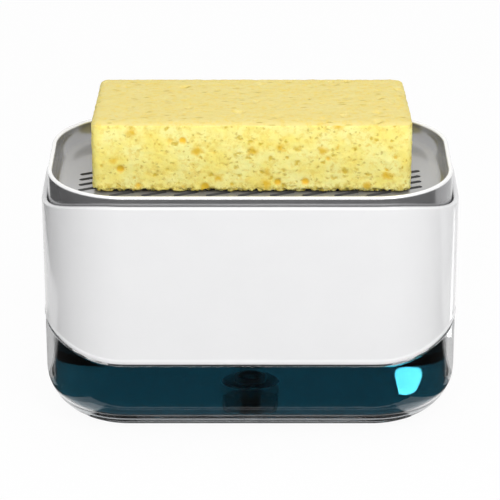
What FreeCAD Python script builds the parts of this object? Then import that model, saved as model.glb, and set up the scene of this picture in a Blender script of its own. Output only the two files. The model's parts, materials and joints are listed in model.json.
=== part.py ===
import FreeCAD, Part

import math
import os

# Soap pump caddy: a clear tub of soap, a white housing over it, and a sponge tray that works a pump.
# Lengths are in millimetres. X runs along the caddy, -Y faces the user, and the pads stand on z = 0.

# Outer body
body_length = 165.0
body_depth = 94.0
corner_radius = 34.0
end_sweep = 8.3
sweep_run = 31.0
overrun = 5.0

# Clear tub
tub_height = 33.1
tub_wall = 3.2
tub_floor = 6.0
tub_edge_radius = 19.0
neck_overlap = 8.2
pad_radius = 6.5
pad_thickness = 1.6
pad_proud = 0.8
pad_margin = 4.0

# Soap
soap_over_window = 1.0
soap_gap = 0.3
well_gap = 1.0

# White housing
housing_height = 67.1
housing_wall = 2.2
lip_wall = 1.4
lip_gap = 0.3
parting_gap = 0.4
seal_thickness = 1.5
seat_height = 2.0
deck_thickness = 2.4

# Press tray
stroke = 9.0
tray_clearance = 0.4
tray_stand = 3.5
tray_wall = 1.9
tray_floor = 2.2
tray_skirt = 26.0
dish_depth = 8.0
dish_radius = 7.0
rim_round = 0.85
slot_length = 10.5
slot_width = 2.2
slot_pitch = 12.6
slot_row_pitch = 5.4
slot_margin = 2.0
slot_angle = 24.0
slot_end_rows = 4
nozzle_keepout = 1.0

# Tray boss and nozzle
boss_wall = 5.6
boss_depth = 7.6
nozzle_radius = 8.0
nozzle_flange = 1.6
nozzle_seal_thickness = 0.8
nozzle_sink = 0.2
nozzle_spigot = 1.8
nozzle_throat_radius = 2.0
outlet_radius = 0.7
outlet_circle_radius = 1.2
outlet_count = 4
press_gap = 0.05

# Plunger
stem_radius = 4.9
stem_bore_radius = 2.2
running_fit = 0.08
chamber_radius = 3.4
piston_height = 6.5
piston_gap = 0.4
piston_rest_gap = 0.1
piston_seal_height = 2.4
piston_seal_depth = 1.5
seal_fit = 0.05

# Check valves
ball_radius = 2.8
inlet_port_radius = 2.1
ball_lift = 1.2
ball_gap = 0.2
ball_side_gap = 0.5
cage_bar = 1.2
cage_clearance = 0.8
cage_hole_radius = 1.5
cage_hole_count = 4

# Pump cylinder and its fixings
cylinder_bore_radius = 8.5
cylinder_wall = 2.6
cylinder_neck = 2.4
cylinder_end_wall = 3.0
flange_width = 4.4
flange_thickness = 1.8
gasket_thickness = 1.2
thread_gap = 0.1
deck_hole_gap = 0.3
nut_width = 5.8
nut_thickness = 4.5
nut_grip_radius = 1.45
nut_grip_count = 12
cap_wall = 2.2
cap_top = 2.2

# Dip tube and intake foot
tube_radius = 4.0
tube_wall = 1.3
nipple_wall = 1.5
nipple_depth = 6.0
foot_radius = 11.75
foot_thickness = 4.4
foot_standoff = 0.3
foot_round = 1.2
foot_socket_floor = 2.2
dome_radius = 6.2
dome_height = 2.0
intake_slot_width = 2.4
intake_slot_height = 1.6
intake_slot_count = 6

# Return spring
spring_wire_radius = 0.65
spring_mean_radius = 7.4
spring_turns = 7
spring_end_gap = 0.1

# Sponge
sponge_length = 126.4
sponge_back_length = 122.8
sponge_depth = 51.0
sponge_thickness = 30.3
sponge_corner_radius = 4.0
sponge_edge_radius = 1.9
sponge_set_back = 3.0
sponge_side_shift = 0.6
sponge_gap = 0.1

# Heights worked out from the sizes above
half_length = body_length / 2
half_depth = body_depth / 2
tub_low = pad_proud
tub_floor_top = tub_low + tub_floor
shoulder = tub_low + tub_height
soap_level = shoulder + end_sweep + soap_over_window
neck_top = shoulder + end_sweep + neck_overlap
neck_inset = lip_wall + lip_gap
seat = neck_top + seal_thickness
deck_low = seat + seat_height
deck_top = deck_low + deck_thickness
housing_rim = shoulder + housing_height
tray_inset = housing_wall + tray_clearance
tray_top = housing_rim + tray_stand
skirt_low = tray_top - tray_skirt
dish_floor = tray_top - dish_depth
tray_under = dish_floor - tray_floor

cylinder_radius = cylinder_bore_radius + cylinder_wall
flange_radius = cylinder_radius + flange_width
flange_low = deck_top + gasket_thickness
flange_top = flange_low + flange_thickness
cylinder_top = flange_top + cylinder_neck
cap_radius = cylinder_radius + thread_gap + cap_wall
cap_high = cylinder_top + cap_top
deck_hole_radius = cylinder_radius + deck_hole_gap

piston_high = cylinder_top - piston_rest_gap
piston_low = piston_high - piston_height
piston_radius = cylinder_bore_radius - piston_gap
seal_inner_radius = cylinder_bore_radius - piston_seal_depth
seal_low = piston_low + (piston_height - piston_seal_height) / 2
cage_top = piston_low - stroke - cage_clearance
inlet_seat_rise = math.sqrt(ball_radius ** 2 - inlet_port_radius ** 2)
outlet_seat_rise = math.sqrt(ball_radius ** 2 - stem_bore_radius ** 2)
cage_room = inlet_seat_rise + ball_radius + ball_gap + ball_lift + ball_gap
bore_low = cage_top - cage_bar - cage_room
inlet_ball_z = bore_low + inlet_seat_rise + ball_gap
cylinder_low = bore_low - cylinder_end_wall
nipple_low = cylinder_low - nipple_depth

boss_radius = stem_radius + press_gap + boss_wall
boss_low = tray_under - boss_depth
nozzle_high = dish_floor - nozzle_sink
nozzle_recess = nozzle_high - nozzle_flange - nozzle_seal_thickness
stem_top = nozzle_recess - nozzle_spigot
chamber_low = stem_top - (outlet_seat_rise + ball_radius + ball_gap + ball_lift + ball_gap)
outlet_ball_z = chamber_low + outlet_seat_rise + ball_gap

foot_low = tub_floor_top + foot_standoff
foot_top = foot_low + foot_thickness
tube_low = foot_low + foot_socket_floor
sponge_low = dish_floor + sponge_gap


def outline_wire(inset, z):
    """The body's rounded outline, drawn in by an inset, at one height."""
    x = half_length - inset
    y = half_depth - inset
    r = corner_radius - inset
    diagonal = r * (1 - math.sqrt(0.5))
    edges = []
    for side in (0, 1):
        turn = FreeCAD.Rotation(FreeCAD.Vector(0, 0, 1), 180 * side)
        points = [
            (-x + r, -y), (x - r, -y), (x - diagonal, -y + diagonal), (x, -y + r),
            (x, y - r), (x - diagonal, y - diagonal), (x - r, y),
        ]
        a, b, c, d, e, f, g = [turn.multVec(FreeCAD.Vector(px, py, 0)) for px, py in points]
        edges += [Part.LineSegment(a, b).toShape(), Part.Arc(b, c, d).toShape()]
        edges += [Part.LineSegment(d, e).toShape(), Part.Arc(e, f, g).toShape()]
    wire = Part.Wire(edges)
    wire.translate(FreeCAD.Vector(0, 0, z))
    return wire


def block(inset, z_low, z_high):
    """A solid of the inset outline between two heights."""
    face = Part.Face(outline_wire(inset, z_low))
    return face.extrude(FreeCAD.Vector(0, 0, z_high - z_low))


def rounded_below(solid, radius):
    """The solid with the edge around its lowest face rounded."""
    low = solid.BoundBox.ZMin
    loop = [edge for edge in solid.Edges if abs(edge.CenterOfMass.z - low) < solid.getTolerance(1)]
    return solid.makeFillet(radius, loop)


def swept_region(level, sweep, far):
    """All that lies between a far height and a level edge that bends by a sweep towards both ends."""
    rho = (sweep_run ** 2 + sweep ** 2) / (2 * abs(sweep))
    angle = math.asin(sweep_run / rho) / 2
    sign = math.copysign(1, sweep)
    flat = half_length - sweep_run
    bend = flat + rho * math.sin(angle)
    bend_z = level + sign * rho * (1 - math.cos(angle))
    reach = half_length + overrun

    def at(x, z):
        return FreeCAD.Vector(x, -half_depth - overrun, z)

    end = level + sweep
    edges = [
        Part.LineSegment(at(-reach, far), at(-reach, end)).toShape(),
        Part.LineSegment(at(-reach, end), at(-half_length, end)).toShape(),
        Part.Arc(at(-half_length, end), at(-bend, bend_z), at(-flat, level)).toShape(),
        Part.LineSegment(at(-flat, level), at(flat, level)).toShape(),
        Part.Arc(at(flat, level), at(bend, bend_z), at(half_length, end)).toShape(),
        Part.LineSegment(at(half_length, end), at(reach, end)).toShape(),
        Part.LineSegment(at(reach, end), at(reach, far)).toShape(),
        Part.LineSegment(at(reach, far), at(-reach, far)).toShape(),
    ]
    face = Part.Face(Part.Wire(edges))
    return face.extrude(FreeCAD.Vector(0, body_depth + 2 * overrun, 0))


def disc(radius, z_low, z_high, x=0, y=0):
    """An upright cylinder between two heights."""
    return Part.makeCylinder(radius, z_high - z_low, FreeCAD.Vector(x, y, z_low))


def ring(inner, outer, z_low, z_high):
    """An upright tube between two heights."""
    return disc(outer, z_low, z_high).cut(disc(inner, z_low - overrun, z_high + overrun))


def ball(radius, z):
    """A ball on the pump's axis."""
    return Part.makeSphere(radius, FreeCAD.Vector(0, 0, z))


def around(count, radius, start=0):
    """Places evenly spaced on a circle about the pump's axis."""
    for k in range(count):
        angle = start + 2 * math.pi * k / count
        yield radius * math.cos(angle), radius * math.sin(angle), angle


def pad_places():
    """Centres of the four pads, on the flat of the tub's underside."""
    x = half_length - tub_edge_radius - pad_radius - pad_margin
    y = half_depth - tub_edge_radius - pad_radius - pad_margin
    return [(sx * x, sy * y) for sx in (-1, 1) for sy in (-1, 1)]


def make_tub():
    """Clear tub with a heavy floor, and a thin neck that stands up inside the housing."""
    tub = rounded_below(block(0, tub_low, neck_top), tub_edge_radius)
    hollow = rounded_below(block(tub_wall, tub_floor_top, neck_top + overrun), tub_edge_radius - tub_wall)
    above = swept_region(shoulder, end_sweep, neck_top + overrun)
    step = above.cut(block(neck_inset, tub_low, neck_top + overrun))
    tub = tub.cut(hollow).cut(step)
    pocket_top = tub_low + pad_thickness - pad_proud
    for x, y in pad_places():
        tub = tub.cut(disc(pad_radius, tub_low - overrun, pocket_top, x, y))
    return tub


def make_pads():
    """Four rubber pads glued into pockets under the tub."""
    return Part.makeCompound([disc(pad_radius, 0, pad_thickness, x, y) for x, y in pad_places()])


def make_soap():
    """Soap in the tub, open around the intake so that the pump lifts out."""
    inset = tub_wall + soap_gap
    radius = tub_edge_radius - tub_wall - soap_gap
    soap = rounded_below(block(inset, tub_floor_top + soap_gap, soap_level), radius)
    return soap.cut(disc(foot_radius + well_gap, tub_low, soap_level + overrun))


def make_housing():
    """White housing with a pump deck inside and a thin lip that laps over the tub's neck."""
    housing = block(0, shoulder, housing_rim)
    housing = housing.cut(block(lip_wall, shoulder - overrun, seat))
    housing = housing.cut(block(tub_wall, shoulder - overrun, deck_low))
    housing = housing.cut(block(housing_wall, deck_top, housing_rim + overrun))
    housing = housing.cut(swept_region(housing_rim, -end_sweep, housing_rim + overrun))
    housing = housing.cut(swept_region(shoulder + parting_gap, end_sweep, shoulder - overrun))
    return housing.cut(disc(deck_hole_radius, deck_low - overrun, deck_top + overrun))


def make_tub_seal():
    """Silicone ring between the top of the tub's neck and the housing."""
    return block(neck_inset, neck_top, seat).cut(block(tub_wall, neck_top - overrun, seat + overrun))


def within_outline(x, y, inset):
    """True where a point lies inside the body's rounded outline drawn in by an inset."""
    past_x = max(abs(x) - half_length + corner_radius, 0)
    past_y = max(abs(y) - half_depth + corner_radius, 0)
    return math.hypot(past_x, past_y) <= corner_radius - inset


def make_slots():
    """Slanted drain slots in rows over the flat of the dish, clear of the nozzle, with fewer rows at its two ends."""
    x_field = half_length - tray_inset - tray_wall - dish_radius - slot_margin
    y_field = half_depth - tray_inset - tray_wall - dish_radius - slot_margin
    angle = math.radians(slot_angle)
    run = (slot_length - slot_width) / 2
    end_x = run * math.cos(angle)
    end_y = run * math.sin(angle)
    columns = int((x_field - end_x - slot_width / 2) / slot_pitch)
    rows = int((y_field - end_y - slot_width / 2) / slot_row_pitch)
    flat_inset = tray_inset + tray_wall + dish_radius + slot_width / 2
    clear = nozzle_radius + nozzle_keepout + slot_length / 2
    slot = Part.makeBox(
        2 * run, slot_width, tray_floor + 2 * overrun,
        FreeCAD.Vector(-run, -slot_width / 2, tray_under - overrun),
    )
    for x in (-run, run):
        slot = slot.fuse(disc(slot_width / 2, tray_under - overrun, dish_floor + overrun, x))
    slot.rotate(FreeCAD.Vector(0, 0, 0), FreeCAD.Vector(0, 0, 1), slot_angle)
    slots = []
    for row in range(-rows, rows + 1):
        for column in range(-columns, columns + 1):
            x = column * slot_pitch
            y = row * slot_row_pitch
            ends = [(x + side * end_x, y + side * end_y) for side in (-1, 1)]
            on_flat = all(within_outline(px, py, flat_inset) for px, py in ends)
            left_out = abs(column) == columns and not -slot_end_rows < row <= 0
            if math.hypot(x, y) < clear or not on_flat or left_out:
                continue
            copy = slot.copy()
            copy.translate(FreeCAD.Vector(x, y, 0))
            slots.append(copy)
    return slots


def make_tray():
    """Press tray: a shallow slotted dish with a skirt that runs inside the housing."""
    tray = block(tray_inset, skirt_low, tray_top)
    dish = rounded_below(block(tray_inset + tray_wall, dish_floor, tray_top + overrun), dish_radius)
    hollow = block(tray_inset + tray_wall, skirt_low - overrun, tray_under)
    tray = tray.cut(dish).cut(hollow)
    rim = [edge for edge in tray.Edges if abs(edge.CenterOfMass.z - tray_top) < rim_round / 2]
    tray = tray.makeFillet(rim_round, rim)
    tray = tray.fuse(disc(boss_radius, boss_low, tray_under))
    tray = tray.cut(disc(nozzle_radius + press_gap, nozzle_recess, dish_floor + overrun))
    tray = tray.cut(disc(stem_radius + press_gap, boss_low - overrun, dish_floor))
    return tray.cut(Part.makeCompound(make_slots())).removeSplitter()


def make_nozzle_cap():
    """Nozzle set flush in the tray's floor, with a few small outlets."""
    flange_low_z = nozzle_high - nozzle_flange
    cap = disc(nozzle_radius, flange_low_z, nozzle_high)
    cap = cap.fuse(disc(stem_radius, stem_top, flange_low_z))
    cap = cap.cut(disc(nozzle_throat_radius, stem_top - overrun, flange_low_z))
    for x, y, angle in around(outlet_count, outlet_circle_radius):
        cap = cap.cut(disc(outlet_radius, stem_top, nozzle_high + overrun, x, y))
    return cap.removeSplitter()


def make_nozzle_seal():
    """Flat seal under the nozzle's flange."""
    return ring(stem_radius + press_gap, nozzle_radius, nozzle_recess, nozzle_high - nozzle_flange)


def make_stem():
    """Hollow plunger stem with a seat for the outlet ball near its top."""
    stem = disc(stem_radius, piston_low, stem_top)
    stem = stem.cut(disc(stem_bore_radius, piston_low - overrun, stem_top + overrun))
    return stem.cut(disc(chamber_radius, chamber_low, stem_top + overrun))


def make_piston():
    """Piston on the foot of the stem, with a groove for its seal."""
    piston = ring(stem_radius + press_gap, piston_radius, piston_low, piston_high)
    groove = ring(seal_inner_radius, cylinder_bore_radius + overrun, seal_low, seal_low + piston_seal_height)
    return piston.cut(groove)


def make_piston_seal():
    """Soft ring that wipes the cylinder's bore."""
    return ring(seal_inner_radius, cylinder_bore_radius - seal_fit, seal_low, seal_low + piston_seal_height)


def make_cylinder():
    """Pump cylinder that hangs through the deck by its flange, with a nipple for the dip tube."""
    nipple_radius = tube_radius + press_gap + nipple_wall
    cylinder = disc(cylinder_radius, cylinder_low, cylinder_top)
    cylinder = cylinder.fuse(disc(flange_radius, flange_low, flange_top))
    cylinder = cylinder.fuse(disc(nipple_radius, nipple_low, cylinder_low))
    cylinder = cylinder.cut(disc(cylinder_bore_radius, bore_low, cylinder_top + overrun))
    cylinder = cylinder.cut(disc(inlet_port_radius, nipple_low, bore_low + overrun))
    return cylinder.cut(disc(tube_radius + press_gap, nipple_low - overrun, cylinder_low)).removeSplitter()


def make_cylinder_gasket():
    """Flat gasket between the cylinder's flange and the deck."""
    return ring(deck_hole_radius, flange_radius, deck_top, flange_low)


def make_collar_nut():
    """Nut that draws the cylinder down onto the deck from below, with grips around it."""
    inner = cylinder_radius + thread_gap
    outer = inner + nut_width
    nut = ring(inner, outer, deck_low - nut_thickness, deck_low)
    for x, y, angle in around(nut_grip_count, outer):
        nut = nut.cut(disc(nut_grip_radius, deck_low - nut_thickness - overrun, deck_low + overrun, x, y))
    return nut


def make_cylinder_cap():
    """Cap on the cylinder that guides the stem and carries the spring."""
    cap = disc(cap_radius, flange_top, cap_high)
    cap = cap.cut(disc(cylinder_radius + thread_gap, flange_top - overrun, cylinder_top))
    return cap.cut(disc(stem_radius + running_fit, flange_top, cap_high + overrun))


def make_ball_cage():
    """Crown that keeps the inlet ball over its port."""
    cage = disc(cylinder_bore_radius - press_gap, bore_low, cage_top)
    cage = cage.cut(disc(ball_radius + ball_side_gap, bore_low - overrun, cage_top - cage_bar))
    place = ball_radius + ball_side_gap
    for x, y, angle in around(cage_hole_count, place):
        cage = cage.cut(disc(cage_hole_radius, bore_low - overrun, cage_top + overrun, x, y))
    return cage


def make_dip_tube():
    """Tube from the pump cylinder down to the intake foot."""
    return ring(tube_radius - tube_wall, tube_radius, tube_low, cylinder_low)


def make_intake_foot():
    """Round foot just off the tub's floor, with intake slots around its underside."""
    foot = disc(foot_radius, foot_low, foot_top)
    edge = [e for e in foot.Edges if abs(e.CenterOfMass.z - foot_top) < foot_round / 2]
    foot = foot.makeFillet(foot_round, [e for e in edge if e.Length > foot_radius])
    foot = foot.fuse(disc(dome_radius, foot_top, foot_top + dome_height))
    foot = foot.cut(disc(tube_radius + press_gap, tube_low, foot_top + dome_height + overrun))
    foot = foot.cut(disc(tube_radius - tube_wall, foot_low - overrun, tube_low + overrun))
    for x, y, angle in around(intake_slot_count, 0):
        slot = Part.makeBox(
            foot_radius + overrun, intake_slot_width, intake_slot_height,
            FreeCAD.Vector(0, -intake_slot_width / 2, foot_low),
        )
        slot.rotate(FreeCAD.Vector(0, 0, 0), FreeCAD.Vector(0, 0, 1), math.degrees(angle))
        foot = foot.cut(slot)
    return foot.removeSplitter()


def tangent_arc(start, control, end):
    """An arc between two points whose end tangents meet at the control point."""
    middle = (start + end) * 0.5
    half_chord = (end - start).Length / 2
    lean = math.acos(half_chord / (control - start).Length)
    outward = (control - middle).normalize()
    return Part.Arc(start, middle + outward * (half_chord * math.tan(lean / 2)), end).toShape()


def biarc(p0, t0, p1, t1):
    """Two tangent arcs from one point and direction to another."""
    v = p1 - p0
    along = v.dot(t0 + t1)
    spread = 2 * (1 - t0.dot(t1))
    d = (math.sqrt(along ** 2 + spread * v.dot(v)) - along) / spread
    q0 = p0 + t0 * d
    q1 = p1 - t1 * d
    joint = (q0 + q1) * 0.5
    return [tangent_arc(p0, q0, joint), tangent_arc(joint, q1, p1)]


def make_spring():
    """Return spring: one wire wound between the cylinder's cap and the tray's boss."""
    z_low = cap_high + spring_end_gap + spring_wire_radius
    z_high = boss_low - spring_end_gap - spring_wire_radius
    rise = (z_high - z_low) / (2 * math.pi * spring_turns)

    def place(angle):
        r = spring_mean_radius
        return FreeCAD.Vector(r * math.cos(angle), r * math.sin(angle), z_low + rise * angle)

    def heading(angle):
        r = spring_mean_radius
        return FreeCAD.Vector(-r * math.sin(angle), r * math.cos(angle), rise).normalize()

    edges = []
    for quarter in range(4 * spring_turns):
        a = quarter * math.pi / 2
        b = a + math.pi / 2
        edges += biarc(place(a), heading(a), place(b), heading(b))
    section = Part.Wire(Part.makeCircle(spring_wire_radius, place(0), heading(0)))
    points = [place(k * math.pi / 12) for k in range(24 * spring_turns + 1)]
    near = [p.distanceToPoint(q) for i, p in enumerate(points) for q in points[i + 12:]]
    print("spring's least gap to itself:", round(min(near) - 2 * spring_wire_radius, 2), "mm")
    return Part.Wire(edges).makePipeShell([section], True, False)


def make_sponge():
    """Sponge block, a little shorter along its back, with softened corners and edges."""
    front = sponge_set_back - sponge_depth / 2
    back = sponge_set_back + sponge_depth / 2
    corners = [
        (-sponge_length / 2, front), (sponge_length / 2, front),
        (sponge_back_length / 2, back), (-sponge_back_length / 2, back),
    ]
    points = [FreeCAD.Vector(sponge_side_shift + x, y, sponge_low) for x, y in corners]
    face = Part.Face(Part.makePolygon(points + points[:1]))
    sponge = face.extrude(FreeCAD.Vector(0, 0, sponge_thickness))
    middle = sponge_low + sponge_thickness / 2
    upright = [edge for edge in sponge.Edges if abs(edge.CenterOfMass.z - middle) < sponge_thickness / 4]
    sponge = sponge.makeFillet(sponge_corner_radius, upright)
    loops = [edge for edge in sponge.Edges if abs(edge.CenterOfMass.z - middle) > sponge_thickness / 4]
    return sponge.makeFillet(sponge_edge_radius, loops)


parts = {
    "clear_tub": make_tub(),
    "rubber_pads": make_pads(),
    "soap_fill": make_soap(),
    "white_housing": make_housing(),
    "tub_seal": make_tub_seal(),
    "pump_cylinder": make_cylinder(),
    "cylinder_gasket": make_cylinder_gasket(),
    "collar_nut": make_collar_nut(),
    "cylinder_cap": make_cylinder_cap(),
    "ball_cage": make_ball_cage(),
    "dip_tube": make_dip_tube(),
    "intake_foot": make_intake_foot(),
    "return_spring": make_spring(),
    "press_tray": make_tray(),
    "nozzle_cap": make_nozzle_cap(),
    "nozzle_seal": make_nozzle_seal(),
    "plunger_stem": make_stem(),
    "piston": make_piston(),
    "piston_seal": make_piston_seal(),
    "inlet_ball": ball(ball_radius, inlet_ball_z),
    "outlet_ball": ball(ball_radius, outlet_ball_z),
    "sponge": make_sponge(),
}

os.makedirs("parts", exist_ok=True)
for name, shape in parts.items():
    shape.exportStep("parts/" + name + ".step")
    print(name, len(shape.Solids), shape.isValid(), round(shape.Volume))
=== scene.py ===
import json
import math

import bmesh
import bpy
import numpy as np
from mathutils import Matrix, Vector


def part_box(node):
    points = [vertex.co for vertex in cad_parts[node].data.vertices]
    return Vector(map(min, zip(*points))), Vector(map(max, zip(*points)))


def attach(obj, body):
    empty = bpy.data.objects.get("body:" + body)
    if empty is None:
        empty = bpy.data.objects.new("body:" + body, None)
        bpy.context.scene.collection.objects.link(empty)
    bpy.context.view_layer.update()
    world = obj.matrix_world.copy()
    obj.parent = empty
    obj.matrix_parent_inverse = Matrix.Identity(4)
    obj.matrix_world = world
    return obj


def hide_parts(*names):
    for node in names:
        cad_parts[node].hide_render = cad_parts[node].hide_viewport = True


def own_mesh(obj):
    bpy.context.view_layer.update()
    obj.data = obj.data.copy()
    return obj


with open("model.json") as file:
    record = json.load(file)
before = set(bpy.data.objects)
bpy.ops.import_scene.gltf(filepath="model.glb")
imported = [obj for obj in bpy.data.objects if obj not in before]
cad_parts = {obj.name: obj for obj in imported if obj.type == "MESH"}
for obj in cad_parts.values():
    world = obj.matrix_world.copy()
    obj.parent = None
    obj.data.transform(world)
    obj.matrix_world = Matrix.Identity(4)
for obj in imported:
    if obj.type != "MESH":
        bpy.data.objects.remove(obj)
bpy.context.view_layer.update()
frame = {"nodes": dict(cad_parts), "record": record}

MM = 0.001

# The body's outline, and how far the housing's edges bend towards its two ends
HALF_LENGTH, HALF_DEPTH, CORNER = 82.5 * MM, 47.0 * MM, 34.0 * MM
END_SWEEP, SWEEP_RUN = 8.3 * MM, 31.0 * MM

# Tub and soap. The hollow's lower corners are tighter than the solid's
TUB_LOW, TUB_FLOOR, SHOULDER, NECK_TOP = 0.8 * MM, 6.8 * MM, 33.9 * MM, 50.4 * MM
TUB_WALL, TUB_EDGE, NECK_INSET, HOLLOW = 2.6 * MM, 19.0 * MM, 1.7 * MM, 9.0 * MM
SOAP_GAP, SOAP_LEVEL, GROOVE = 0.3 * MM, 44.6 * MM, 0.4 * MM

# Housing
PARTING, LIP_WALL, HOUSING_WALL, HOUSING_RIM = 0.4 * MM, 1.4 * MM, 2.2 * MM, 101.0 * MM
SEAT, DECK_LOW, DECK_TOP, DECK_HOLE = 51.9 * MM, 53.9 * MM, 56.3 * MM, 11.4 * MM
BEAD_HEIGHT, BEAD_PROUD, SHELL_ROUND = 2.0 * MM, 0.3 * MM, 0.75 * MM

# Press tray and its drain slots
TRAY_INSET, TRAY_WALL, DISH_ROUND, RIM_ROUND = 2.6 * MM, 1.9 * MM, 7.0 * MM, 0.85 * MM
TRAY_TOP, SKIRT_LOW, DISH_FLOOR, TRAY_UNDER = 104.5 * MM, 78.5 * MM, 96.5 * MM, 94.3 * MM
NOZZLE_HOLE, NOZZLE_RECESS = 8.05 * MM, 93.9 * MM
STEM_HOLE, BOSS_RADIUS, BOSS_LOW = 4.95 * MM, 10.55 * MM, 86.7 * MM
SLOT = {
    "Slot Length": 10.5 * MM, "Slot Width": 2.2 * MM, "Slot Angle": math.radians(24.0),
    "Pitch": 12.6 * MM, "Row Pitch": 5.4 * MM, "Keep Clear": 14.25 * MM,
    "Top": DISH_FLOOR, "Underside": TRAY_UNDER,
}
SLOT_COLUMNS, SLOT_ROWS, SLOT_END_ROWS, SLOT_END_STEPS = 11, 11, 4, 5
SLOT_ROUND = 0.4999

# Pump
FOOT_TOP, FOOT_RIM, FOOT_DOME = 11.5 * MM, 11.0 * MM, 6.3 * MM
CYLINDER_LOW = 28.8 * MM
TUBE_ALPHA, FOOT_SIDE_ALPHA, FOOT_FACE_ALPHA = 0.1, 0.08, 0.65

# Sponge
SPONGE_LOW, SPONGE_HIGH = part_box("sponge")
SPONGE_BACK_SHARE = 122.8 / 126.4
SPONGE_STEP = 0.56 * MM
SPONGE_ROUND = np.array([4.0, 4.0, 1.9]) * MM
PORES = {
    "Pore Cell": 9.0 * MM, "Pore Radius": 3.0 * MM, "Pore Depth": 0.8 * MM,
    "Pit Cell": 4.6 * MM, "Pit Radius": 1.3 * MM, "Pit Depth": 0.4 * MM,
    "Hole Cell": 6.5 * MM, "Hole Radius": 1.5 * MM, "Hole Depth": 2.0 * MM,
    "Base": SPONGE_LOW[2], "Wobble": 0.8 * MM, "Ragged": 2.2 * MM,
}
PORE_ODDS = {"Pore": 0.62, "Pit": 0.5, "Hole": 0.5}
SMALLEST_PIT = 0.45

# How finely rounds are cut, and the angle from which an edge stays sharp
FRONT_STEPS, END_STEPS, CORNER_STEPS = 20, 6, 30
TUB_EDGE_STEPS, HOLLOW_STEPS, DISH_STEPS = 16, 14, 10
BEAD_STEPS, ROLL_STEPS, RIM_STEPS, SMALL_STEPS = 10, 8, 5, 3
SHARP = math.radians(32.0)

# Distances at which points merge, and the depth of the ripple in moulded skins
SEAM, FACET, SLAB_SEAM = 0.004 * MM, 0.002 * MM, 0.01 * MM
RIPPLE = 0.05 * MM

# Floor cards: left, right, near and far edge, height, tone
LOW, LIFTED = 0.0003, 0.002
FLOOR_CARDS = {
    # A dark card under the tub, seen by gloss and glass in place of its shadow on the floor: a
    # painted shadow.
    "painted_shadow_card": (-0.066, 0.066, -0.055, 0.03, LOW, 0.08),
    "front_card": (-0.6, 0.6, -0.9, -0.056, LIFTED, 0.02),
    "left_card": (-0.6, -0.085, -0.056, 0.008, LIFTED, 0.02),
    "left_strip_card": (-0.14, -0.083, 0.008, 0.06, LIFTED, 0.5),
    "left_far_card": (-0.6, -0.19, 0.008, 0.3, LIFTED, 0.06),
    "right_card": (0.6, 0.085, -0.056, 0.008, LIFTED, 0.02),
    "right_strip_card": (0.14, 0.083, 0.008, 0.06, LIFTED, 0.6),
    "right_far_card": (0.6, 0.19, 0.008, 0.3, LIFTED, 0.8),
    "back_card": (-0.08, 0.08, 0.031, 0.3, LOW, 0.05),
}

# A slim bright card on the floor, and a slim upright one close behind the tub
GLEAM_NEAR, GLEAM_FAR = (0.122, 0.028), (0.21, 0.138)
GLEAM_HALF_WIDTH, GLEAM_HEIGHT, GLEAM_TONE = 0.006, 0.003, 3.0
WINDOW_LEFT, WINDOW_RIGHT, WINDOW_DEPTH = 0.0531, 0.0545, 0.0485
WINDOW_LOW, WINDOW_HIGH = 0.004, 0.03
WINDOW_TONE, WINDOW_COLOUR = 55.0, (1.0, 0.75, 0.65)

# Soft boxes: place, the point that they face, width and height, power
LAMPS = {
    "key_box": ((0.15, -0.85, 0.85), (0.0, 0.0, 0.06), (1.1, 0.8), 11.9),
    "top_box": ((0.0, 0.05, 0.9), (0.0, 0.0, 0.05), (0.8, 0.25), 1.6),
    "back_box": ((0.0, 0.95, 0.55), (0.0, 0.0, 0.06), (1.2, 0.6), 2.5),
}

# Camera, sky and floor
VIEW_ELEVATION, VIEW_DISTANCE = math.radians(24.0), 1.091
VIEW_TARGET, VIEW_LENS = (-0.0001, 0.0, 0.0627), 194.04
SKY_FILL, FLOOR_WHITE, FLOOR_REACH = 0.25, 0.95, 6.0
BOUNCES = 32


class Wire:
    """A socket in a node tree. Sums on it add Math nodes, and node() adds any other node."""

    def __init__(self, tree, socket=None):
        self.tree, self.socket = tree, socket

    def node(self, kind, settings=None, inputs=None, output=0):
        made = self.tree.nodes.new(kind)
        for name, value in (settings or {}).items():
            setattr(made, name, value)
        for name, value in (inputs or {}).items():
            socket = made.inputs[name]
            if isinstance(value, Wire):
                self.tree.links.new(value.socket, socket)
            else:
                socket.default_value = value
        return Wire(self.tree, made.outputs[output] if made.outputs else None)

    def math(self, operation, *values):
        return self.node("ShaderNodeMath", {"operation": operation}, dict(enumerate(values)))

    def __add__(self, other):
        return self.math("ADD", self, other)

    def __sub__(self, other):
        return self.math("SUBTRACT", self, other)

    def __rsub__(self, other):
        return self.math("SUBTRACT", other, self)

    def __mul__(self, other):
        return self.math("MULTIPLY", self, other)

    def __truediv__(self, other):
        return self.math("DIVIDE", self, other)

    __radd__, __rmul__ = __add__, __mul__

    def at_least(self, other):
        return self.math("MAXIMUM", self, other)

    def over(self, other):
        return self.math("GREATER_THAN", self, other)

    def under(self, other):
        return self.math("LESS_THAN", self, other)

    def along(self, axis):
        """One part of a vector: 0 for x, 1 for y, 2 for z."""
        return self.node("ShaderNodeSeparateXYZ", None, {0: self}, axis)

    def ramp(self, low, high, to_low=0.0, to_high=1.0):
        """Runs smoothly from to_low to to_high as the value goes from low to high."""
        keys = ("Value", "From Min", "From Max", "To Min", "To Max")
        inputs = dict(zip(keys, (self, low, high, to_low, to_high)))
        return self.node("ShaderNodeMapRange", {"interpolation_type": "SMOOTHSTEP"}, inputs)


def shade(red, green, blue):
    """A colour given on a 0 to 255 scale, as linear light."""
    scaled = [c / 255.0 for c in (red, green, blue)]
    return tuple(c / 12.92 if c <= 0.04045 else ((c + 0.055) / 1.055) ** 2.4 for c in scaled)


def new_finish(name):
    """An empty material, a wire to build on, and the place of a point on the piece."""
    material = bpy.data.materials.new(name)
    material.use_nodes = True
    material.node_tree.nodes.clear()
    start = Wire(material.node_tree)
    return material, start, start.node("ShaderNodeTexCoord", output="Object")


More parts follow.
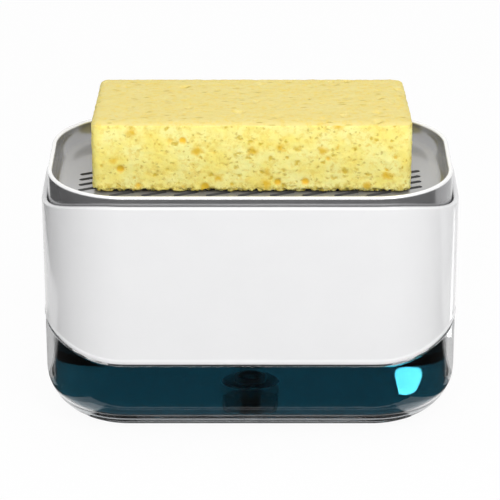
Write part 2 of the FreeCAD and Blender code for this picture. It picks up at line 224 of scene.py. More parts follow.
def close_finish(material, start, volume=None, **inputs):
    """Ends a material in one Principled shader. Names of inputs have _ for a space."""
    named = {key.replace("_", " "): value for key, value in inputs.items()}
    output = {"Surface": start.node("ShaderNodeBsdfPrincipled", None, named)}
    if volume:
        output["Volume"] = volume
    start.node("ShaderNodeOutputMaterial", None, output)
    return material


def vector(start, operation, *values, output=0):
    settings = {"operation": operation}
    return start.node("ShaderNodeVectorMath", settings, dict(enumerate(values)), output)


def stretched(start, place, stretch):
    return start.node("ShaderNodeMapping", None, {"Vector": place, "Scale": stretch})


def speckle(start, place, scale, detail=2.0, rough=0.5, stretch=None, output=0):
    """Cloudy noise from 0 to 1, about a patch per 1/scale metres."""
    if stretch:
        place = stretched(start, place, stretch)
    inputs = {"Vector": place, "Scale": scale, "Detail": detail, "Roughness": rough}
    return start.node("ShaderNodeTexNoise", None, inputs, output)


def two_tone(start, share, one, other):
    """A colour between two, by a share from 0 to 1."""
    one, other = [tone if isinstance(tone, Wire) else (*tone, 1.0) for tone in (one, other)]
    return start.node("ShaderNodeMix", {"data_type": "RGBA"}, {0: share, 6: one, 7: other}, 2)


def relief(start, height, depth, strength):
    """A bump of a depth in metres."""
    inputs = {"Height": height, "Distance": depth, "Strength": strength}
    return start.node("ShaderNodeBump", None, inputs)


def tint(start, colour, density):
    """Colour that grows with the way light goes through a clear piece."""
    inputs = {"Color": (*colour, 1.0), "Density": density}
    return start.node("ShaderNodeVolumeAbsorption", None, inputs)


def facing_up(start):
    """1 on level upper faces, 0 on upright ones."""
    return start.node("ShaderNodeNewGeometry", output="Normal").along(2)


def moulded(name, one, other, roughness, wave=0.15, coat=0.0, sub=0.0, clear_below=None):
    """Moulded plastic: two close tones, a slightly uneven gloss and a faint ripple.

    Below the height clear_below it is thin and near clear.
    """
    material, start, place = new_finish(name)
    cloud = speckle(start, place, 60.0, 3.0)
    fine = speckle(start, place, 900.0)
    thin = {}
    if clear_below is not None:
        height = place.along(2)
        thin["Alpha"] = height.ramp(clear_below - 0.5 * MM, clear_below, TUBE_ALPHA, 1.0)
    return close_finish(
        material, start,
        Base_Color=two_tone(start, cloud, one, other),
        Roughness=fine.ramp(0.3, 0.7, roughness * 0.85, roughness * 1.15),
        Normal=relief(start, speckle(start, place, 140.0, 1.0), RIPPLE, wave),
        Coat_Weight=coat, Coat_Roughness=0.05, IOR=1.5,
        Subsurface_Weight=sub, Subsurface_Scale=2 * MM, **thin,
    )


def silver_grey():
    """Grey plastic with a silvery, polished skin. Level faces are less metallic and a shade paler,
    as painted light from above, and a pale band on the rim is a painted highlight.
    """
    material, start, place = new_finish("silver_grey")
    cloud = speckle(start, place, 50.0, 3.0)
    fine = speckle(start, place, 1100.0)
    # The pale band along the rim's top is a painted highlight.
    rim = place.along(2).ramp(TRAY_TOP - 1.3 * MM, TRAY_TOP - 0.5 * MM)
    # Level faces get a paler, less metallic copy of the skin: painted light from above.
    level = facing_up(start).ramp(0.7, 0.95)
    skin = two_tone(start, cloud, (0.34, 0.34, 0.345), (0.31, 0.31, 0.316))
    skin_with_painted_top_light = two_tone(start, level, skin, (0.36, 0.36, 0.365))
    return close_finish(
        material, start,
        Base_Color=two_tone(start, rim, skin_with_painted_top_light, (0.93, 0.93, 0.93)),
        Metallic=level.ramp(0.0, 1.0, 0.65, 0.2),
        Roughness=fine.ramp(0.3, 0.7, 0.19, 0.22), IOR=1.5,
        Normal=relief(start, speckle(start, place, 60.0, 1.0), RIPPLE, 0.05),
        Coat_Weight=0.5, Coat_Roughness=0.06,
    )


def clear_plastic():
    """Clear tub: water-clear, with a hint of haze and a cool edge."""
    material, start, place = new_finish("clear_plastic")
    haze = speckle(start, place, 220.0, 3.0)
    return close_finish(
        material, start, tint(start, (0.0, 0.05, 0.09), 8.0),
        Base_Color=two_tone(start, haze, (0.995, 0.997, 0.998), (0.985, 0.99, 0.992)),
        Roughness=haze.ramp(0.35, 0.8, 0.0, 0.015), IOR=1.49, Transmission_Weight=1.0,
    )


def soap_liquid():
    """Dark teal soap: clear enough to show the pump's foot."""
    material, start, place = new_finish("teal_soap")
    swirl = speckle(start, place, 45.0, 3.0)
    return close_finish(
        material, start, tint(start, (0.0, 0.40, 0.48), 58.0),
        Base_Color=two_tone(start, swirl, (0.90, 0.97, 0.985), (0.86, 0.955, 0.975)),
        Roughness=0.0, IOR=1.36, Transmission_Weight=1.0,
    )


def metal(name, colour, roughness):
    """Bright drawn metal with fine streaks."""
    material, start, place = new_finish(name)
    streak = speckle(start, place, 1200.0, stretch=(1.0, 1.0, 0.15))
    return close_finish(
        material, start, Metallic=1.0,
        Base_Color=two_tone(start, streak, colour, tuple(0.86 * c for c in colour)),
        Roughness=streak.ramp(0.2, 0.8, roughness * 0.8, roughness * 1.2),
    )


def foot_plastic():
    """Pump's foot: near-clear side and pale edge, a dark upper face that is painted shade, and a
    pale ring on its dome that is a painted highlight.
    """
    material, start, place = new_finish("foot_plastic")
    height = place.along(2)
    across = vector(start, "MULTIPLY", place, (1.0, 1.0, 0.0))
    radius = vector(start, "LENGTH", across, output="Value")
    side, under_face = FOOT_TOP - 0.7 * MM, FOOT_TOP - 0.5 * MM
    upper = height.ramp(FOOT_TOP - 0.4 * MM, FOOT_TOP - 0.1 * MM)
    # The dark upper face is painted shade.
    face = upper * radius.ramp(FOOT_RIM + 0.3 * MM, FOOT_RIM)
    # A pale ring left on the dome is a painted highlight.
    ring_inside = radius.ramp(FOOT_DOME - 1.4 * MM, FOOT_DOME - 1.0 * MM)
    painted_highlight_ring = ring_inside * radius.ramp(FOOT_DOME + 0.2 * MM, FOOT_DOME)
    cloud = speckle(start, place, 120.0)
    pale = two_tone(start, cloud, (0.86, 0.88, 0.88), (0.80, 0.83, 0.83))
    dark = two_tone(start, cloud, (0.02, 0.022, 0.024), (0.015, 0.017, 0.018))
    return close_finish(
        material, start,
        Base_Color=two_tone(start, face * (1.0 - painted_highlight_ring), pale, dark),
        Roughness=cloud.ramp(0.0, 1.0, 0.12, 0.2),
        Alpha=height.ramp(side, under_face, FOOT_SIDE_ALPHA, FOOT_FACE_ALPHA),
    )


def cells(start, place, scale):
    """Scattered cells: a point's way from its cell's middle, and two chances of that cell."""
    near = start.node("ShaderNodeTexVoronoi", None, {"Vector": place, "Scale": scale})
    colour = Wire(start.tree, near.socket.node.outputs["Color"])
    return near, colour.along(0), colour.along(1)


def pits(start, place, scale, odds, radius, stretch):
    """Small pits of mixed sizes on some of the cells, from 0 outside to 1 inside."""
    near, chance, width = cells(start, stretched(start, place, stretch), scale)
    edge = width.ramp(0.0, 1.0, SMALLEST_PIT * radius, radius)
    return (near / edge).ramp(1.0, 0.2) * chance.under(odds)


def sponge_finish():
    """Cellulose foam: pale yellow, with orange pores, olive pits and dashes on its upper face."""
    material, start, place = new_finish("yellow_sponge")
    pore, pit, hole = (
        start.node("ShaderNodeAttribute", {"attribute_name": name}, None, "Fac")
        for name in ("pore", "pit", "hole")
    )
    on_top = facing_up(start).ramp(0.2, 0.65)
    beside = 1.0 - on_top
    near_base = place.along(2).ramp(SPONGE_LOW[2] + 6 * MM, SPONGE_LOW[2] + 0.5 * MM)
    cloud = speckle(start, place, 95.0, 3.0, 0.55)
    fibre = speckle(start, place, 700.0, 3.0, 0.65, stretch=(0.35, 1.5, 1.0))
    crumb = speckle(start, place, 480.0, 4.0, 0.7)
    stir = speckle(start, place, 420.0, output="Color")
    bent = vector(start, "MULTIPLY_ADD", stir, (3.2 * MM, 3.2 * MM, 3.2 * MM), place)
    blotch = pits(start, bent, 150.0, 0.5, 0.5, (1.0, 1.0, 1.15)) * beside
    spot = pits(start, bent, 270.0, 0.5, 0.5, (0.8, 1.0, 1.1)) * beside
    fine = pits(start, bent, 640.0, 0.5, 0.5, (0.75, 1.0, 1.0)) * beside
    dash = pits(start, place, 400.0, 0.6, 0.34, (0.36, 1.5, 1.0)) * on_top
    amber = two_tone(start, cloud.ramp(0.46, 0.56), shade(248, 198, 54), shade(226, 188, 50))
    skin = two_tone(start, cloud.ramp(0.32, 0.68), shade(255, 247, 164), shade(255, 238, 132))
    layers = (
        # Upper face and its front edge toned darker and greyer: painted shade against the light
        # from above.
        (on_top * 0.8, shade(228, 210, 138)),
        (crumb.ramp(0.48, 0.66, 0.0, 0.5), shade(238, 208, 92)),
        (fibre.ramp(0.5, 0.8) * (on_top * 0.4 + 0.3), shade(224, 198, 104)),
        (near_base * crumb.ramp(0.4, 0.6) * 0.85, shade(190, 164, 52)),
        (blotch * 0.9, shade(234, 192, 48)),
        (spot * 0.8, shade(214, 182, 48)),
        (fine.at_least(dash * 1.3) * 0.55, shade(196, 166, 58)),
        (pit.ramp(0.05, 0.8, 0.0, 0.85) * beside, shade(222, 190, 66)),
        (pore.ramp(0.0, 0.9, 0.0, 0.95) * beside, amber),
        # Holes painted dark brown: painted shade in their deep hollows.
        (hole, shade(62, 46, 12)),
    )
    for share, tone in layers:
        skin = two_tone(start, share, skin, tone)
    height = fibre * 0.5 - crumb * 0.7 - spot * 0.5 - fine * 0.35 - dash * 0.8
    return close_finish(
        material, start,
        Base_Color=skin, Roughness=0.9, IOR=1.4, Specular_IOR_Level=0.2,
        Normal=relief(start, height, 0.5 * MM, 0.75),
        Subsurface_Weight=0.15, Subsurface_Radius=(1.0, 0.7, 0.25), Subsurface_Scale=1.5 * MM,
    )


def turns(steps, first=0.0, last=90.0):
    """Angles in even steps from first to last, which are in degrees."""
    return [math.radians(first + (last - first) * k / steps) for k in range(steps + 1)]


def outline():
    """Steps round the body's outline, front first: arc centres and outward directions."""
    straight_x, straight_y = HALF_LENGTH - CORNER, HALF_DEPTH - CORNER
    corners = [(1, -1, -90.0), (1, 1, 0.0), (-1, 1, 90.0), (-1, -1, 180.0)]
    centres, outward = [], []
    for side, (sx, sy, start) in enumerate(corners):
        before = corners[side - 1]
        steps = FRONT_STEPS if side % 2 == 0 else END_STEPS
        a = np.array([before[0] * straight_x, before[1] * straight_y])
        b = np.array([sx * straight_x, sy * straight_y])
        turn = math.radians(start)
        for k in range(steps):
            centres.append(a + (b - a) * k / steps)
            outward.append((math.cos(turn), math.sin(turn)))
        for turn in turns(CORNER_STEPS, start, start + 90.0)[:-1]:
            centres.append(b)
            outward.append((math.cos(turn), math.sin(turn)))
    return np.array(centres), np.array(outward)


CENTRES, OUTWARD = outline()
COUNT = len(CENTRES)


def ring(inset, height):
    """The outline drawn in by an inset, at a height or at one height for each point."""
    flat = CENTRES + OUTWARD * (CORNER - inset)
    return np.column_stack([flat, np.broadcast_to(height, COUNT)])


def circle(radius, height):
    """A circle about the pump's axis, with its points in step with the outline's."""
    flat = CENTRES + OUTWARD * CORNER
    flat = radius * flat / np.linalg.norm(flat, axis=1)[:, None]
    return np.column_stack([flat, np.full(COUNT, height)])


def sweep():
    """How far the housing's edges bend towards both ends, for each point of the outline."""
    rho = (SWEEP_RUN ** 2 + END_SWEEP ** 2) / (2 * END_SWEEP)
    reach = np.abs((CENTRES + OUTWARD * CORNER)[:, 0])
    run = np.maximum(reach - (HALF_LENGTH - SWEEP_RUN), 0.0)
    return rho - np.sqrt(rho ** 2 - run ** 2)


def hollow_round(inset, height, across, up, steps):
    """Rings along a quarter round that leaves (inset, height) level and ends upright."""
    return [
        ring(inset + across * math.sin(a), height + up * (1 - math.cos(a))) for a in turns(steps)
    ]


def soft_edge(inset, height, radius, steps):
    """Rings over an outer upper edge, from upright to level, inset by its radius in the end."""
    return [
        ring(inset + radius * (1 - math.cos(a)), height - radius * (1 - math.sin(a)))
        for a in turns(steps)
    ]


def loft(rings, closed=False, caps=True):
    """Faces between rings in turn. A loft that isn't closed on itself gets a face over each end."""
    points = np.concatenate(rings)
    count = len(rings)
    faces = []
    for i in range(count if closed else count - 1):
        a, b = i * COUNT, (i + 1) % count * COUNT
        for j in range(COUNT):
            k = (j + 1) % COUNT
            faces.append((a + j, a + k, b + k, b + j))
    if caps and not closed:
        faces.append(tuple(reversed(range(COUNT))))
        faces.append(tuple(range((count - 1) * COUNT, count * COUNT)))
    return points, faces


def piece(name, mesh, material=None):
    """A new object at the origin that holds a mesh."""
    made = bpy.data.objects.new(name, mesh)
    bpy.context.scene.collection.objects.link(made)
    if material:
        mesh.materials.clear()
        mesh.materials.append(material)
    return made


def mesh_from(name, points, faces=(), edges=()):
    mesh = bpy.data.meshes.new(name)
    mesh.from_pydata([tuple(p) for p in points], list(edges), list(faces))
    mesh.update()
    return mesh


def smooth(mesh, merge=0.0, outward=False):
    """Merges doubles, turns faces outwards if asked, and shades all but sharp edges smooth."""
    work = bmesh.new()
    work.from_mesh(mesh)
    if merge:
        bmesh.ops.remove_doubles(work, verts=work.verts, dist=merge)
    if outward:
        bmesh.ops.recalc_face_normals(work, faces=work.faces)
    work.to_mesh(mesh)
    work.free()
    mesh.shade_smooth()
    mesh.set_sharp_from_angle(angle=SHARP)
    return mesh


def node_tree(name, sizes):
    """An empty geometry tree with a named input for each size."""
    tree = bpy.data.node_groups.new(name, "GeometryNodeTree")
    tree.interface.new_socket("Geometry", in_out="INPUT", socket_type="NodeSocketGeometry")
    for label in sizes:
        tree.interface.new_socket(label, in_out="INPUT", socket_type="NodeSocketFloat")
    tree.interface.new_socket("Geometry", in_out="OUTPUT", socket_type="NodeSocketGeometry")
    entry = tree.nodes.new("NodeGroupInput")
    given = {socket.name: Wire(tree, socket) for socket in entry.outputs if socket.name}
    return tree, Wire(tree), given


def close_tree(start, geometry, material):
    """Ends a geometry tree in real, painted faces."""
    real = start.node("GeometryNodeRealizeInstances", None, {0: geometry})
    paint = {"Geometry": real, "Material": material}
    painted = start.node("GeometryNodeSetMaterial", None, paint)
    start.node("NodeGroupOutput", None, {0: painted})


def grown(name, mesh, tree, sizes):
    """The plain mesh that a geometry tree makes of a mesh."""
    holder = piece(name, mesh)
    modifier = holder.modifiers.new(name, "NODES")
    modifier.node_group = tree
    for item in tree.interface.items_tree:
        if item.in_out == "INPUT" and item.name in sizes:
            modifier[item.identifier] = sizes[item.name]
    depsgraph = bpy.context.evaluated_depsgraph_get()
    made = bpy.data.meshes.new_from_object(
        holder.evaluated_get(depsgraph), preserve_all_data_layers=True, depsgraph=depsgraph,
    )
    bpy.data.objects.remove(holder)
    return made


def joined(start, *geometries):
    node = start.tree.nodes.new("GeometryNodeJoinGeometry")
    for geometry in geometries:
        start.tree.links.new(geometry.socket, node.inputs[0])
    return Wire(start.tree, node.outputs[0])


def removed(start, geometry, domain, selection):
    inputs = {"Geometry": geometry, "Selection": selection}
    return start.node("GeometryNodeDeleteGeometry", {"domain": domain}, inputs)


def upright(start, height):
    return start.node("ShaderNodeCombineXYZ", None, {"Z": height})


def raised(start, geometry, height):
    inputs = {"Geometry": geometry, "Translation": upright(start, height)}
    return start.node("GeometryNodeTransform", None, inputs)


def slot_places(start, given, place):
    """The points that carry a slot: none about the nozzle, and fewer rows at the two ends."""
    field = start.node("GeometryNodeMeshGrid", None, {
        "Size X": given["Pitch"] * (SLOT_COLUMNS - 1.0),
        "Size Y": given["Row Pitch"] * (SLOT_ROWS - 1.0),
        "Vertices X": SLOT_COLUMNS, "Vertices Y": SLOT_ROWS,
    })
    x, y = place.along(0), place.along(1)
    at_end = x.math("ABSOLUTE", x).over(given["Pitch"] * (SLOT_COLUMNS / 2 - 0.75))
    behind = y.over(given["Row Pitch"] * 0.5)
    before = y.under(given["Row Pitch"] * (0.5 - SLOT_END_ROWS))
    by_nozzle = vector(start, "LENGTH", place, output="Value").under(given["Keep Clear"])
    return removed(start, field, "POINT", by_nozzle + at_end * behind.at_least(before))


def slot_outlines(start, given, place):
    """A slanted, round-ended outline at each slot's place."""
    blank = start.node("GeometryNodeCurvePrimitiveQuadrilateral", {"mode": "RECTANGLE"}, {
        "Width": given["Slot Length"], "Height": given["Slot Width"],
    })
    stadium = start.node("GeometryNodeFilletCurve", {"mode": "POLY"}, {
        "Curve": blank, "Count": SLOT_END_STEPS, "Radius": given["Slot Width"] * SLOT_ROUND,
        "Limit Radius": True,
    })
    cutters = start.node("GeometryNodeInstanceOnPoints", None, {
        "Points": slot_places(start, given, place), "Instance": stadium,
        "Rotation": upright(start, given["Slot Angle"]),
    })
    return start.node("GeometryNodeRealizeInstances", None, {0: cutters})


def slotted_floor(material):
    """Tree that fills the dish's floor and its underside between their edges, with slots."""
    tree, start, given = node_tree("drain_slots", SLOT)
    place = start.node("GeometryNodeInputPosition")
    loops = slot_outlines(start, given, place)
    edges = start.node("GeometryNodeMeshToCurve", None, {0: given["Geometry"]})
    height, middle = place.along(2), (given["Top"] + given["Underside"]) * 0.5
    faces = []
    for level, other in (("Top", height.under(middle)), ("Underside", height.over(middle))):
        rim = removed(start, edges, "CURVE", other)
        sheet = start.node("GeometryNodeFillCurve", None, {0: joined(start, rim, loops)})
        faces.append(raised(start, sheet, given[level]))
    lines = start.node("GeometryNodeCurveToMesh", None, {"Curve": loops})
    walls = start.node("GeometryNodeExtrudeMesh", {"mode": "EDGES"}, {
        "Mesh": raised(start, lines, given["Underside"]),
        "Offset": upright(start, given["Top"] - given["Underside"]),
    })
    close_tree(start, joined(start, *faces, walls), material)
    return tree


def make_tray(material):
    """Press tray: skirt, rolled rim and dish, with the slotted floor between them."""
    inner, half, support = TRAY_INSET + TRAY_WALL, TRAY_WALL / 2, 0.4 * MM
    roll = TRAY_TOP - RIM_ROUND
    rings = [ring(inner, TRAY_UNDER), ring(inner, SKIRT_LOW), ring(TRAY_INSET, SKIRT_LOW)]
    rings.append(ring(TRAY_INSET, roll - support))
    for a in turns(ROLL_STEPS, 180.0, 0.0):
        rings.append(ring(TRAY_INSET + half + half * math.cos(a), roll + RIM_ROUND * math.sin(a)))
    rings.append(ring(inner, roll - support))
    for a in turns(DISH_STEPS):
        inset = inner + DISH_ROUND - DISH_ROUND * math.cos(a)
        rings.append(ring(inset, DISH_FLOOR + DISH_ROUND * (1 - math.sin(a))))
    boss_rings = [
        circle(NOZZLE_HOLE, DISH_FLOOR), circle(NOZZLE_HOLE, NOZZLE_RECESS),
        circle(STEM_HOLE, NOZZLE_RECESS), circle(STEM_HOLE, BOSS_LOW),
        circle(BOSS_RADIUS, BOSS_LOW), circle(BOSS_RADIUS, TRAY_UNDER),
    ]
    rims = [rings[-1], rings[0], boss_rings[0], boss_rings[-1]]
    loops = [
        (i * COUNT + j, i * COUNT + (j + 1) % COUNT)
        for i in range(len(rims)) for j in range(COUNT)
    ]
    edges = mesh_from("dish_edges", np.concatenate(rims), edges=loops)
    floor = grown("dish_floor", edges, slotted_floor(material), SLOT)
    shell = mesh_from("shell", *loft(rings, caps=False))
    boss = mesh_from("boss", *loft(boss_rings, caps=False))
    work = bmesh.new()
    for mesh in (floor, shell, boss):
        work.from_mesh(mesh)
    whole = bpy.data.meshes.new("tray")
    work.to_mesh(whole)
    work.free()
    return piece("tray_shell", smooth(whole, SEAM, True), material)


def make_housing(material):
    """White housing: a shell with soft edges, a deck inside and a thin beaded lip below."""
    bend, support = sweep(), 0.6 * MM
    low, high = SHOULDER + PARTING + bend, HOUSING_RIM - bend
    rings = [
        ring(-BEAD_PROUD * math.sin(math.pi * k / BEAD_STEPS), low + BEAD_HEIGHT * k / BEAD_STEPS)
        for k in range(BEAD_STEPS + 1)
    ]
    rings += [ring(0.0, low + BEAD_HEIGHT + support), ring(0.0, high - SHELL_ROUND - support)]
    rings += soft_edge(0.0, high, SHELL_ROUND, RIM_STEPS)
    rings += hollow_round(HOUSING_WALL - SHELL_ROUND, high, SHELL_ROUND, -SHELL_ROUND, RIM_STEPS)
    rings += [
        ring(HOUSING_WALL, high - SHELL_ROUND - support), ring(HOUSING_WALL, DECK_TOP),
        circle(DECK_HOLE, DECK_TOP), circle(DECK_HOLE, DECK_LOW), ring(TUB_WALL, DECK_LOW),
        ring(TUB_WALL, SEAT), ring(LIP_WALL, SEAT), ring(LIP_WALL, low),
    ]
    mesh = mesh_from("housing", *loft(rings, closed=True))
    return piece("housing_shell", smooth(mesh), material)


def make_tub(material):
    """Clear tub: rolled underside edge, thick floor, and a neck inside the housing."""
    shoulder = SHOULDER + sweep() - GROOVE
    soft, support = 0.4 * MM, 0.5 * MM
    rings = hollow_round(TUB_EDGE, TUB_LOW, -TUB_EDGE, TUB_EDGE, TUB_EDGE_STEPS)
    rings += [ring(0.0, TUB_LOW + TUB_EDGE + support), ring(0.0, shoulder - soft - support)]
    rings += soft_edge(0.0, shoulder, soft, SMALL_STEPS)
    rings += [ring(NECK_INSET, shoulder), ring(NECK_INSET, NECK_TOP), ring(TUB_WALL, NECK_TOP)]
    rings.append(ring(TUB_WALL, TUB_FLOOR + HOLLOW + support))
    rings += hollow_round(TUB_WALL + HOLLOW, TUB_FLOOR, -HOLLOW, HOLLOW, HOLLOW_STEPS)[::-1]
    return piece("tub_clear", smooth(mesh_from("tub", *loft(rings))), material)


def make_soap(material):
    """Soap pool that fills the tub to just above the housing's lower edge."""
    inset, radius = TUB_WALL + SOAP_GAP, HOLLOW - SOAP_GAP
    lip, support = 0.5 * MM, 0.3 * MM
    rings = hollow_round(TUB_WALL + HOLLOW, TUB_FLOOR + SOAP_GAP, -radius, radius, HOLLOW_STEPS)
    rings.append(ring(inset, SOAP_LEVEL - lip - support))
    rings += soft_edge(inset, SOAP_LEVEL, lip, SMALL_STEPS)
    return piece("soap_pool", smooth(mesh_from("soap", *loft(rings))), material)


def sponge_slab():
    """Rounded slab of fine even faces, a little longer in front than behind."""
    low, high = np.array(SPONGE_LOW), np.array(SPONGE_HIGH)
    middle, half = (low + high) / 2, (high - low) / 2
    steps = np.maximum(np.round(2 * half / SPONGE_STEP).astype(int), 2)
    points, faces, base = [], [], 0
    for axis in range(3):
        u, v = (axis + 1) % 3, (axis + 2) % 3
        lines = [np.linspace(-1, 1, steps[across] + 1) for across in (u, v)]
        for side in (-1, 1):
            grid_u, grid_v = np.meshgrid(*lines, indexing="ij")
            patch = np.zeros(grid_u.shape + (3,))
            patch[..., axis], patch[..., u], patch[..., v] = side, grid_u, grid_v
            points.append(patch.reshape(-1, 3))
            index = base + np.arange(grid_u.size).reshape(grid_u.shape)
            corners = [index[:-1, :-1], index[1:, :-1], index[1:, 1:], index[:-1, 1:]]
            quads = np.stack(corners if side > 0 else corners[::-1], -1).reshape(-1, 4)
            faces += quads.tolist()
            base += grid_u.size
    box = np.concatenate(points) * half
    core = np.clip(box, SPONGE_ROUND - half, half - SPONGE_ROUND)
    past = (box - core) / SPONGE_ROUND
    length = np.linalg.norm(past, axis=1)
    turn = np.where(length > 0, np.abs(past).max(axis=1) / np.maximum(length, 1e-9), 0.0)
    slab = core + past * turn[:, None] * SPONGE_ROUND
    back = (slab[:, 1] + half[1]) / (2 * half[1])
    slab[:, 0] *= 1 - (1 - SPONGE_BACK_SHARE) * back
    return smooth(mesh_from("slab", slab + middle, faces), SLAB_SEAM)


def sunk_cells(start, place, given, kind):
    """Round pits of a kind on a surface: how deep each point lies, and how far inside it is."""
    cell, radius, depth = (given[kind + size] for size in (" Cell", " Radius", " Depth"))
    size = start.node("ShaderNodeCombineXYZ", None, {0: cell, 1: cell, 2: cell})
    near, chance, width = cells(start, vector(start, "DIVIDE", place, size), 1.0)
    reach = radius / cell * width.ramp(0.0, 1.0, SMALLEST_PIT, 1.0)
    inside = (near / reach).ramp(1.0, 0.35) * chance.under(PORE_ODDS[kind])
    return inside * depth * width.ramp(0.0, 1.0, 0.5, 1.0), inside


def sponge_pores(material):
    """Tree that sinks pores of three kinds into the slab and frays its lower edge."""
    tree, start, given = node_tree("sponge_pores", PORES)
    place = start.node("GeometryNodeInputPosition")
    normal = start.node("GeometryNodeInputNormal")
    above = place.along(2) - given["Base"]
    low = above.ramp(4.0 * MM, 0.6 * MM)
    pore, in_pore = sunk_cells(start, place, given, "Pore")
    pit, in_pit = sunk_cells(start, place, given, "Pit")
    hole, in_hole = sunk_cells(start, place, given, "Hole")
    wave = speckle(start, place, 260.0, 4.0)
    fray = speckle(start, place, 520.0)
    frayed = fray.ramp(0.4, 0.65) * above.ramp(3.0 * MM, 0.2 * MM) * given["Ragged"]
    sink = pore.at_least(pit).at_least(hole * low) + wave * given["Wobble"] + frayed
    inward = {0: normal, "Scale": sink * -1.0}
    offset = start.node("ShaderNodeVectorMath", {"operation": "SCALE"}, inward)
    made = given["Geometry"]
    for name, share in (("pore", in_pore), ("pit", in_pit), ("hole", in_hole * low)):
        kind = {"data_type": "FLOAT", "domain": "POINT"}
        inputs = {"Geometry": made, "Name": name, "Value": share}
        made = start.node("GeometryNodeStoreNamedAttribute", kind, inputs)
    made = start.node("GeometryNodeSetPosition", None, {"Geometry": made, "Offset": offset})
    close_tree(start, made, material)
    return tree


def make_sponge(material):
    """Cellulose sponge with real pores."""
    mesh = grown("sponge_slab", sponge_slab(), sponge_pores(material), PORES)
    mesh.shade_smooth()
    return piece("sponge_foam", mesh)


def smooth_copy(node, material):
    """A pump piece with the solid's own shape, its facets merged and shaded smooth."""
    mesh = frame["nodes"][node].data.copy()
    return piece(node + "_finished", smooth(mesh, FACET), material)


finishes = {
    "clear_plastic": clear_plastic(),
    "soap": soap_liquid(),
    "white_plastic": moulded(
        "white_gloss", (0.815, 0.815, 0.82), (0.79, 0.79, 0.797), 0.16, wave=0.06, coat=0.3,
    ),
    "grey_plastic": silver_grey(),
    "pump_plastic": moulded(
        "natural_plastic", (0.80, 0.81, 0.82), (0.74, 0.75, 0.77), 0.35, wave=0.2, sub=0.1,
        clear_below=CYLINDER_LOW,
    ),
    "foot_plastic": foot_plastic(),
    "pale_silicone": moulded(
        "pale_silicone", (0.72, 0.72, 0.70), (0.66, 0.66, 0.64), 0.55, wave=0.2, sub=0.2,
    ),
    "dark_rubber": moulded("dark_rubber", shade(48, 48, 49), shade(38, 38, 39), 0.7, wave=0.3),
    "spring_steel": metal("bright_steel", (0.62, 0.63, 0.64), 0.22),
    "sponge_foam": sponge_finish(),
}

made_pieces = {
    "clear_tub": make_tub, "soap_fill": make_soap, "white_housing": make_housing,
    "press_tray": make_tray, "sponge": make_sponge,
}
record = frame["record"]
slots = {sub["node"]: sub["material_slot"] for sub in record["subparts"]}
bodies = {node: body for body, nodes in record["behaviour"]["bodies"].items() for node in nodes}
for node, slot in slots.items():
    finish = finishes[slot]
    made = made_pieces[node](finish) if node in made_pieces else smooth_copy(node, finish)
    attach(made, bodies[node])
    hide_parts(node)
    if node == "return_spring":
        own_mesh(made)


def level_corners(left, right, near, far, height):
    return [(left, near, height), (right, near, height), (right, far, height), (left, far, height)]


def upright_corners(left, right, depth, low, high):
    return [(left, depth, low), (right, depth, low), (right, depth, high), (left, depth, high)]


def slant_corners(near, far, half_width, height):
    """Corners of a slim card on the floor from one place to another."""
    (x, y), (far_x, far_y) = near, far
    length = math.hypot(far_x - x, far_y - y)
    across, along = (far_y - y) / length * half_width, (x - far_x) / length * half_width
    return [
        (x - across, y - along, height), (x + across, y + along, height),
        (far_x + across, far_y + along, height), (far_x - across, far_y - along, height),
    ]


def backdrop_ray(start):
    """1 for rays from the camera and for those that gloss or glass sends on, else 0."""
    seen = start.node("ShaderNodeLightPath", None, None, "Is Camera Ray")
    for kind in ("Is Glossy Ray", "Is Transmission Ray"):
        seen = seen.at_least(start.node("ShaderNodeLightPath", None, None, kind))
    return seen


def make_floor():
    """Pale floor that shows near white and keeps the caddy's soft shadow."""
    material, start, place = new_finish("pale_floor")
    grain = speckle(start, place, 30.0, 3.0)
    lit = start.node("ShaderNodeBsdfDiffuse", None, {
        "Color": two_tone(start, grain, (0.90, 0.90, 0.90), (0.88, 0.88, 0.885)),
    })
    glow = {"Color": (1.0, 1.0, 1.0, 1.0), "Strength": 1.0}
    white = start.node("ShaderNodeEmission", None, glow)
    share = backdrop_ray(start) * FLOOR_WHITE
    mixed = start.node("ShaderNodeMixShader", None, {0: share, 1: lit, 2: white})
    start.node("ShaderNodeOutputMaterial", None, {"Surface": mixed})
    corners = level_corners(-FLOOR_REACH, FLOOR_REACH, -FLOOR_REACH, FLOOR_REACH, 0.0)
    piece("floor", mesh_from("floor", corners, [(0, 1, 2, 3)]), material)


def make_world():
    """Even studio light, shown as white where the camera, gloss or glass looks at it."""
    world = bpy.data.worlds.new("studio")
    bpy.context.scene.world = world
    world.use_nodes = True
    world.node_tree.nodes.clear()
    start = Wire(world.node_tree)
    strength = backdrop_ray(start).ramp(0.0, 1.0, SKY_FILL, 1.0)
    glow = {"Color": (1.0, 1.0, 1.0, 1.0), "Strength": strength}
    sky = start.node("ShaderNodeBackground", None, glow)
    start.node("ShaderNodeOutputWorld", None, {"Surface": sky})


def make_lamp(name, place, aim, size, power):
    """A soft box that faces a point."""
    data = bpy.data.lights.new(name, "AREA")
    data.shape, data.size, data.size_y, data.energy = "RECTANGLE", size[0], size[1], power
    lamp = bpy.data.objects.new(name, data)
    bpy.context.scene.collection.objects.link(lamp)
    lamp.location = place
    lamp.rotation_mode = "QUATERNION"
    lamp.rotation_quaternion = (Vector(aim) - Vector(place)).to_track_quat("-Z", "Y")
    lamp.visible_camera = False
    return lamp


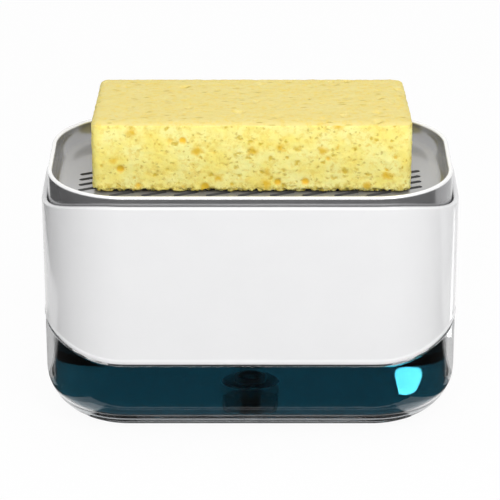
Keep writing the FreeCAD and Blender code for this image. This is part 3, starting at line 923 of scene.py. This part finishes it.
def make_card(name, corners, glow, colour=(1.0, 1.0, 1.0)):
    """A studio card of an even tone that only gloss and glass see."""
    material, start, place = new_finish(name)
    grain = speckle(start, place, 40.0)
    tone = start.node("ShaderNodeEmission", None, {
        "Color": (*colour, 1.0), "Strength": grain.ramp(0.0, 1.0, glow * 0.9, glow * 1.1),
    })
    start.node("ShaderNodeOutputMaterial", None, {"Surface": tone})
    card = piece(name, mesh_from(name, corners, [(0, 1, 2, 3)]), material)
    card.visible_camera = card.visible_diffuse = card.visible_shadow = False
    return card


def make_cards():
    """Cards that give the tub its dark, bright and pale zones."""
    for name, (*sides, tone) in FLOOR_CARDS.items():
        make_card(name, level_corners(*sides), tone)
    gleam = slant_corners(GLEAM_NEAR, GLEAM_FAR, GLEAM_HALF_WIDTH, GLEAM_HEIGHT)
    make_card("gleam_card", gleam, GLEAM_TONE)
    window = upright_corners(WINDOW_LEFT, WINDOW_RIGHT, WINDOW_DEPTH, WINDOW_LOW, WINDOW_HIGH)
    make_card("window_card", window, WINDOW_TONE, WINDOW_COLOUR).visible_glossy = False


def make_lamps():
    """A large soft box in front, a slim one above, and a fill behind that no gloss shows."""
    lamps = {name: make_lamp(name, *values) for name, values in LAMPS.items()}
    lamps["back_box"].visible_glossy = lamps["back_box"].visible_transmission = False


def make_camera():
    """The photograph's view: level from the front, 24 degrees above."""
    data = bpy.data.cameras.new("camera")
    data.sensor_width, data.lens, data.clip_end = 36.0, VIEW_LENS, 20.0
    camera = bpy.data.objects.new("camera", data)
    bpy.context.scene.collection.objects.link(camera)
    back = Vector((0.0, -math.cos(VIEW_ELEVATION), math.sin(VIEW_ELEVATION)))
    camera.location = Vector(VIEW_TARGET) + back * VIEW_DISTANCE
    camera.rotation_mode = "QUATERNION"
    camera.rotation_quaternion = (-back).to_track_quat("-Z", "Y")
    bpy.context.scene.camera = camera


make_floor()
make_world()
make_cards()
make_lamps()
make_camera()
bpy.context.scene.view_settings.view_transform = "Standard"
cycles = bpy.context.scene.cycles
cycles.max_bounces = cycles.transmission_bounces = cycles.glossy_bounces = BOUNCES
